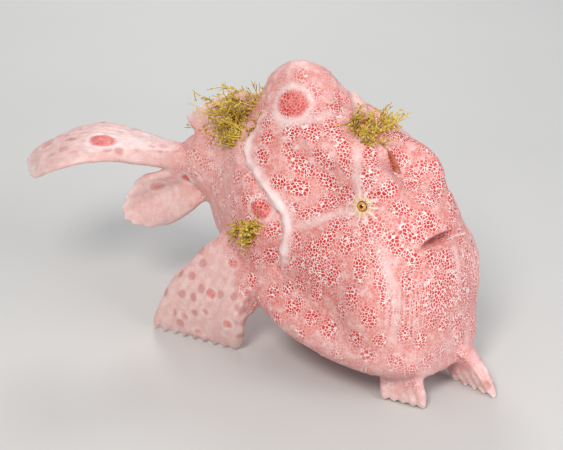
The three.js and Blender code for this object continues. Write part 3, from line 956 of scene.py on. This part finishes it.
def skin_material():
    """Pink skin with rosettes of close red dots on a white net, ringed spots and pale bands."""
    material, n, shader, place = new_material("frogfish_skin")
    drift = n.vector("SUBTRACT", n.noise(place, 260.0, 2.0, "Color"), (0.5, 0.5, 0.5))
    warped = n.vector("ADD", place, n.vector("MULTIPLY", drift, (PATTERN_DRIFT * MM,) * 3))

    lines = n.cells(warped, DOTS_PER_METRE, "DISTANCE_TO_EDGE", 0.9)
    dot = n.ramp(lines, 0.05, 0.10)
    thin = n.ramp(n.noise(place, 1300.0, 1.0), 0.36, 0.46)
    cluster = n.mask("cluster")

    grain = n.add("ShaderNodeGroup", node_tree=grain_group())
    n.link(place, grain.inputs["Place"])

    tone = n.noise(place, 90.0, 3.0)
    base = n.colour(n.ramp(tone, 0.35, 0.65), PINK, ROSE)
    # Painted shade darkens the belly
    base = n.colour(n.times(n.mask("shaded_belly"), 0.6), base, BELLY_SHADE)
    base = n.colour(n.times(n.mask("fin"), 0.7), base, FIN_PALE)
    base = n.colour(n.times(n.ramp(grain.outputs["Tint"], 0.42, 0.62), 0.3), base, WHITE)
    # Painted shade: the dots dull to dark red on the rear, fins and belly
    red = n.colour(n.mask("unshaded_red"), DULL_RED, CRIMSON)
    net_line = n.math("SUBTRACT", 1.0, dot)
    base = n.colour(n.times(net_line, 0.16), base, WHITE)
    speckle = n.times(n.times(dot, thin), n.times(n.mask("spots"), 0.40))
    base = n.colour(speckle, base, red)
    net = n.colour(dot, NET_PALE, red)
    skin = n.colour(cluster, base, net)

    blotch = n.cells(warped, BLOTCHES_PER_METRE, "F1", 0.8)
    blotch_mask = n.ramp(blotch, 0.22, 0.42, 1.0, 0.0)
    blotch_some = n.ramp(n.noise(place, 210.0, 1.0), 0.46, 0.56)
    blotch_mask = n.times(n.times(blotch_mask, blotch_some), n.mask("fin"))
    skin = n.colour(n.times(blotch_mask, 0.5), skin, DULL_RED)

    skin = n.colour(n.times(n.mask("pale"), 0.85), skin, WHITE)
    skin = n.colour(n.times(n.mask("white_ring"), 0.5), skin, WHITE)
    core = n.colour(dot, CORE_PINK, CRIMSON)
    skin = n.colour(n.times(n.mask("red_core"), 0.75), skin, core)
    rays = eye_ray_group()
    for side in (-1, 1):
        eye = n.add("ShaderNodeGroup", node_tree=rays)
        n.link(place, eye.inputs["Place"])
        across = unit(np.cross(eye_way(side), UP))
        up = np.cross(across, eye_way(side))
        settle(eye, {"Centre": (eye_place(side) + SHIFT) * MM, "Across": across, "Up": up})
        skin = n.colour(n.times(eye.outputs["Ray"], 0.85), skin, WHITE)
        skin = n.colour(n.times(eye.outputs["Near"], 0.55), skin, EYE_GOLD)
    # Painted shade in the open slit of the mouth, over its red
    skin = n.colour(n.mask("gape"), skin, GAPE_SHADE_RED)

    n.link(skin, shader.inputs["Base Color"])
    n.link(n.ramp(grain.outputs["Tint"], 0.3, 0.7, 0.36, 0.58), shader.inputs["Roughness"])
    relief = n.math("ADD", grain.outputs["Height"], n.times(dot, 0.25))
    n.relief(relief, 0.45, 0.12, shader)
    settle(shader, {"Subsurface Weight": 0.07, "Subsurface Radius": (1.0, 0.35, 0.3)})
    settle(shader, {"Subsurface Scale": 0.3 * MM})
    settle(shader, {"Specular IOR Level": 0.26, "Coat Weight": 0.12, "Coat Roughness": 0.25})
    return material


def iris_material(side):
    """Orange iris with a dark rim and a dark pupil."""
    material, n, shader, place = new_material("iris_right" if side < 0 else "iris_left")
    away = n.vector("SUBTRACT", place, (eye_place(side) + SHIFT) * MM)
    facing = n.vector("DOT_PRODUCT", n.vector("NORMALIZE", away), eye_way(side), output="Value")
    fleck = n.noise(place, 6000.0, 3.0)
    iris = n.colour(n.ramp(fleck, 0.35, 0.65), (0.70, 0.20, 0.01, 1), (0.92, 0.44, 0.04, 1))
    rim = n.ramp(facing, 0.84, 0.91, 1.0, 0.0)
    iris = n.colour(rim, iris, (0.03, 0.02, 0.03, 1))
    iris = n.colour(n.ramp(facing, 0.74, 0.80, 1.0, 0.0), iris, (0.70, 0.45, 0.30, 1))
    pupil = n.ramp(facing, 0.972, 0.980)
    iris = n.colour(pupil, iris, (0.02, 0.012, 0.01, 1))
    n.link(iris, shader.inputs["Base Color"])
    n.link(n.ramp(fleck, 0.3, 0.7, 0.06, 0.14), shader.inputs["Roughness"])
    settle(shader, {"Coat Weight": 0.8, "Coat Roughness": 0.03})
    return material


def make_eyes():
    """Each eye as a glossy ball with a clear bulge in front."""
    for side, name in ((-1, "right_eye"), (1, "left_eye")):
        points, faces = ball_mesh(eye_place(side), EYE_RADIUS, way=eye_way(side))
        along = (points - eye_place(side)) @ eye_way(side) / EYE_RADIUS
        points = points + eye_way(side) * (CORNEA_RISE * np.clip((along - 0.75) / 0.25, 0, 1) ** 1.5)[:, None]
        ball = new_object(name + "_ball", points, faces)
        ball.data.shade_smooth()
        ball.data.materials.append(iris_material(side))
        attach(ball, "root")
        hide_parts(name)


def rod_material():
    """Brownish red skin of the fishing rod."""
    material, n, shader, place = new_material("rod_skin")
    tone = n.noise(place, 1500.0, 3.0)
    colour = n.colour(n.ramp(tone, 0.35, 0.65), (0.36, 0.07, 0.03, 1), (0.62, 0.26, 0.16, 1))
    n.link(colour, shader.inputs["Base Color"])
    n.link(n.ramp(tone, 0.3, 0.7, 0.4, 0.6), shader.inputs["Roughness"])
    return material


# The fishing rod, from the snout back to the tuft that hides its tip
ROD_PATH = [(11.6, -0.3, 26.4), (10.7, -0.5, 28.4), (9.2, -1.3, 29.9), (7.9, -1.9, 31.6)]
ROD_RADII = (0.36, 0.24, 0.2)
LURE_CENTRE = np.array([7.8, -1.95, 31.8])
LURE_RADIUS = 0.32
LURE_THREADS = 26


def make_rod():
    """The fishing rod laid back over the snout, with a small frayed lure."""
    rng = np.random.default_rng(21)
    parts = [rod_mesh(ROD_PATH, ROD_RADII, 12, 28)]
    for _ in range(LURE_THREADS):
        way = unit(rng.normal(size=3) + [-0.3, -0.5, 0.8])
        tip = LURE_CENTRE + way * rng.uniform(0.6, 1.0) + 0.1 * UP
        parts.append(rod_mesh([LURE_CENTRE, LURE_CENTRE + way * 0.5, tip], (0.12, 0.08, 0.03), 5, 5))
    parts.append(ball_mesh(LURE_CENTRE, LURE_RADIUS, 12, 16))
    rod = new_object("fishing_rod_and_lure", *joined(parts))
    rod.data.shade_smooth()
    rod.data.materials.append(rod_material())
    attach(rod, "root")
    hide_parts("fishing_rod")


def filament_material():
    """Golden brown filaments with pale, dull flecks."""
    material, n, shader, place = new_material("golden_filament")
    tone = n.noise(place, 420.0, 4.0)
    grit = n.noise(place, 3200.0, 3.0)
    colour = n.colour(n.ramp(tone, 0.34, 0.66), (0.42, 0.26, 0.016, 1), (0.80, 0.58, 0.09, 1))
    colour = n.colour(n.ramp(grit, 0.56, 0.70), colour, (0.90, 0.80, 0.36, 1))
    n.link(colour, shader.inputs["Base Color"])
    n.link(n.ramp(grit, 0.3, 0.7, 0.42, 0.75), shader.inputs["Roughness"])
    n.relief(grit, 0.5, 0.1, shader)
    settle(shader, {"Subsurface Weight": 0.1, "Subsurface Scale": 0.5 * MM})
    return material


# Width of each filament's patch on the unwrap, and the stretch of the body that the unwrap covers
PATCH = 0.003
UNWRAP_REAR = -19
UNWRAP_LENGTH = 39

# How strongly a filament bends aside
TUFT_CURL = 0.5
# Each tuft grows from a few named roots, leans one way and holds so many filaments of about one length
TUFTS = [
    {
        "node": "dorsal_tuft",
        "roots": [
            (-7.6, -2.6, 30.0), (-9.4, -3.6, 28.6), (-11.4, -4.6, 27.6), (-12.6, -5.0, 26.4),
            (-8.4, -4.6, 27.4), (-10.6, -3.0, 29.8), (-7.6, -6.2, 27.2), (-9.2, -6.0, 26.0),
            (-12.8, -4.2, 28.6),
        ],
        "lean": (-0.5, -0.6, 0.55), "count": 135, "length": 4.2, "thick": 0.10, "seed": 7,
    },
    {
        "node": "spine_tuft",
        "roots": [
            (6.2, -2.0, 31.0), (7.4, -2.2, 30.6), (8.2, -2.6, 30.0), (8.6, -0.6, 31.4), (8.8, 0.6, 31.8),
        ],
        "lean": (0.5, 0.2, 0.7), "count": 70, "length": 3.1, "thick": 0.10, "seed": 11,
    },
    {
        "node": "flank_tuft",
        "roots": [
            (-2.6, -10.6, 18.0), (-4.0, -10.6, 17.2), (-5.4, -10.4, 16.4), (-1.6, -10.7, 18.6),
            (-3.2, -10.7, 16.4),
        ],
        "lean": (-0.2, -0.9, 0.05), "count": 60, "length": 1.4, "thick": 0.12, "seed": 5,
    },
]


def unwrap_place(point):
    """Where a root lies on an unwrap of the skin: round the body's axis, and along it."""
    middle = axis_points(np.array([point[0]]))[0]
    around = math.atan2(point[2] - middle[2], point[1] - middle[1]) / (2 * math.pi) % 1.0
    return np.array([around, np.clip((point[0] - UNWRAP_REAR) / UNWRAP_LENGTH, 0, 1)])


def filament(rng, root, lean, length, thick):
    """One bent filament with side twigs, some of them ending in a small bead."""
    way = unit(lean * 1.1 + rng.normal(size=3) * 0.75)
    reach = length * rng.uniform(0.3, 1.1)
    side = unit(np.cross(way, rng.normal(size=3)))
    line = [root - way * 0.5]
    for step in range(1, 6):
        t = step / 5
        bend = side * TUFT_CURL * reach * 0.35 * math.sin(2.6 * t)
        line.append(root + way * reach * t + bend + rng.normal(size=3) * 0.07)
    parts = [rod_mesh(line, (thick, thick * 0.8, thick * 0.35), 5, 8)]
    for _ in range(rng.integers(3, 7)):
        k = rng.integers(1, 5)
        start = mix(line[k], line[k + 1], rng.uniform())
        twig = unit(way * 0.6 + rng.normal(size=3) * 0.8)
        size = reach * rng.uniform(0.14, 0.34)
        tip = start + twig * size + rng.normal(size=3) * 0.05
        middle = mix(start, tip, 0.5) + side * 0.06
        parts.append(rod_mesh([start, middle, tip], (thick * 0.75, thick * 0.6, thick * 0.3), 4, 4))
        if rng.uniform() < 0.4:
            parts.append(ball_mesh(tip, thick * rng.uniform(1.0, 1.7), 5, 6))
    return joined(parts)


def make_tuft(node, roots, lean, count, length, thick, seed):
    """A bushy tuft of filaments, each with its own patch of the unwrap at its root's place."""
    rng = np.random.default_rng(seed)
    parts = []
    places = []
    for _ in range(count):
        root = np.array(roots[rng.integers(len(roots))], float) + rng.normal(size=3) * [0.55, 0.3, 0.45]
        points, faces = filament(rng, root, unit(lean), length, thick)
        parts.append((points, faces))
        places.extend([unwrap_place(root)] * sum(len(face) for face in faces))
    tuft = new_object(node + "_filaments", *joined(parts))
    tuft.data.shade_smooth()
    layer = tuft.data.uv_layers.new(name="OFBake")
    corner = np.arange(len(places))
    spread = np.stack([np.sin(corner * 2.4), np.cos(corner * 1.7)], -1) * PATCH / 2
    layer.data.foreach_set("uv", np.clip(np.array(places) + spread, 0, 1).astype(np.float32).ravel())
    tuft.data.materials.append(filament_material())
    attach(tuft, "root")
    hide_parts(node)


def papilla_material():
    """Pale, slightly glossy skin of the flaps on the lips."""
    material, n, shader, place = new_material("papilla_white")
    tone = n.noise(place, 2600.0, 2.0)
    colour = n.colour(tone, (0.72, 0.55, 0.52, 1), (0.92, 0.86, 0.84, 1))
    n.link(colour, shader.inputs["Base Color"])
    n.link(n.ramp(tone, 0.3, 0.7, 0.3, 0.5), shader.inputs["Roughness"])
    return material


def make_lip_papillae():
    """Small white papillae along the lower lip and the open part of the upper lip."""
    rng = np.random.default_rng(9)
    parts = []
    for s in np.concatenate([np.linspace(-0.78, -0.22, 12), np.linspace(0.05, 0.5, 9)]):
        y = LIP_HALF * math.sin(s * math.pi / 2)
        z = MOUTH_TOP - LIP_DROP * abs(s) ** 2.4 - 0.45
        root = skin_points(np.array([[8.0, y, z]]), np.array([[1.0, 0, 0]]))[0]
        way = unit([1.0, 0.5 * np.sign(y), 0.7] + rng.normal(size=3) * 0.25)
        size = rng.uniform(0.3, 0.6)
        tip = root + way * size + 0.08 * UP
        parts.append(rod_mesh([root - way * 0.15, root + way * size * 0.6, tip], (0.11, 0.09, 0.03), 6, 5))
    papillae = new_object("lip_papillae", *joined(parts))
    papillae.data.shade_smooth()
    papillae.data.materials.append(papilla_material())
    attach(papillae, "root")


def make_camera():
    """The camera at the photo's viewing angle."""
    turn = math.radians(AZIMUTH)
    rise = math.radians(ELEVATION)
    back = Vector((math.sin(turn) * math.cos(rise), -math.cos(turn) * math.cos(rise), math.sin(rise)))
    aim = Vector((AIM + SHIFT) * MM)
    data = bpy.data.cameras.new("camera")
    data.lens = LENS
    data.clip_start = 0.005
    camera = bpy.data.objects.new("camera", data)
    camera.location = aim + back * DISTANCE * MM
    camera.rotation_euler = back.to_track_quat("Z", "Y").to_euler()
    bpy.context.collection.objects.link(camera)
    bpy.context.scene.camera = camera


# The floor's half width in millimetres, and how far it lies under the soles in metres
FLOOR_HALF = 6000.0
FLOOR_DROP = 0.00002


def make_floor():
    """A plain pale floor."""
    corners = [(-1, -1, 0), (1, -1, 0), (1, 1, 0), (-1, 1, 0)]
    floor = new_object("floor", np.array(corners) * FLOOR_HALF, [(0, 1, 2, 3)])
    material, n, shader, place = new_material("pale_floor")
    tone = n.noise(place, 30.0, 2.0)
    colour = n.colour(tone, (0.60, 0.59, 0.57, 1), (0.64, 0.63, 0.61, 1))
    n.link(colour, shader.inputs["Base Color"])
    settle(shader, {"Roughness": 0.8})
    floor.data.materials.append(material)
    floor.location.z = -FLOOR_DROP


# Soft lamps aimed at the middle of the fish: name, place and size in metres, watts and tint
LAMPS = [
    ("key", (0.10, -0.18, 0.21), 0.09, 0.47, (1.0, 0.97, 0.93)),
    ("fill", (0.22, 0.03, 0.12), 0.14, 0.24, (0.95, 0.97, 1.0)),
    ("rim", (-0.16, 0.14, 0.18), 0.10, 0.25, (1, 1, 1)),
]
LAMP_AIM = Vector((0, 0, 0.015))
ROOM_TINT = (0.80, 0.84, 0.90, 1)
ROOM_STRENGTH = 0.46


def make_lamp(name, place, size, watts, tint):
    """One round lamp."""
    data = bpy.data.lights.new(name, "AREA")
    data.shape = "DISK"
    data.size = size
    data.energy = watts
    data.color = tint
    lamp = bpy.data.objects.new(name, data)
    lamp.location = place
    lamp.rotation_euler = (Vector(place) - LAMP_AIM).to_track_quat("Z", "Y").to_euler()
    bpy.context.collection.objects.link(lamp)


def make_room():
    """Even light from all round."""
    world = bpy.data.worlds.new("soft_room")
    world.use_nodes = True
    settle(world.node_tree.nodes["Background"], {"Color": ROOM_TINT, "Strength": ROOM_STRENGTH})
    bpy.context.scene.world = world


make_camera()
make_skin()
make_eyes()
make_rod()
for tuft_values in TUFTS:
    make_tuft(**tuft_values)
make_lip_papillae()
make_floor()
make_room()
for lamp_values in LAMPS:
    make_lamp(*lamp_values)
bpy.context.scene.view_settings.view_transform = "Standard"
